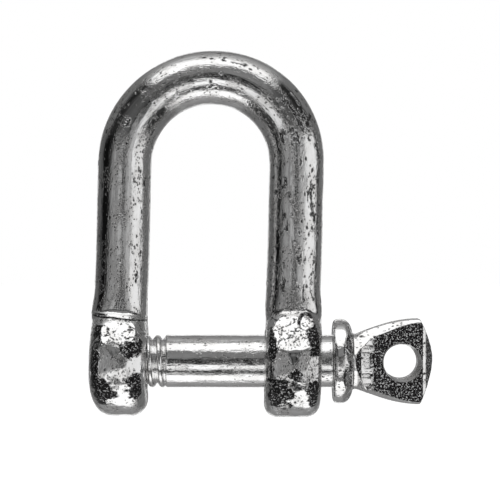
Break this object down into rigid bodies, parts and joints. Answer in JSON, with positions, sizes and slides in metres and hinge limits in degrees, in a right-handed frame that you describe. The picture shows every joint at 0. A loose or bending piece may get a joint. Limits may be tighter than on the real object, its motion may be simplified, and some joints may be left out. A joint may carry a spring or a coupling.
{
  "type": "dee shackle",
  "caption": "Long dee shackle in bright zinc-plated steel: a forged bow with round ears, closed by a screw pin with a collar and a flat head with an eye.",
  "frame": {"origin": "on the pin's axis, midway between the bow's two ears", "axes": "+X along the pin from its threaded end towards its flat head, +Z from the pin towards the crown of the bow, +Y across the bow"},
  "size_m": [0.0586, 0.0194, 0.0628],
  "materials": {
    "bow_zinc": "bright zinc plate over a forged, slightly pitted surface",
    "pin_zinc": "bright zinc plate over drawn bar, with a coarser forged head"
  },
  "bodies": {
    "bow": {"bow": "bow_zinc"},
    "pin_carriage": {"pin_point": "pin_zinc"},
    "pin": {"screw_pin": "pin_zinc", "pin_head": "pin_zinc"}
  },
  "joints": [
    {"name": "pin_advance", "type": "slide", "parent": "bow", "child": "pin_carriage", "axis": [1, 0, 0], "range_m": [-0.00186, 0.0389]},
    {"name": "pin_turn", "type": "hinge", "parent": "pin_carriage", "child": "pin", "pos_m": [0, 0, 0], "axis": [1, 0, 0], "range_deg": [-384, 8010]}
  ],
  "couplings": [
    {"joint": "pin_turn", "follows": "pin_advance", "rad_per_m": 3590.4}
  ]
}
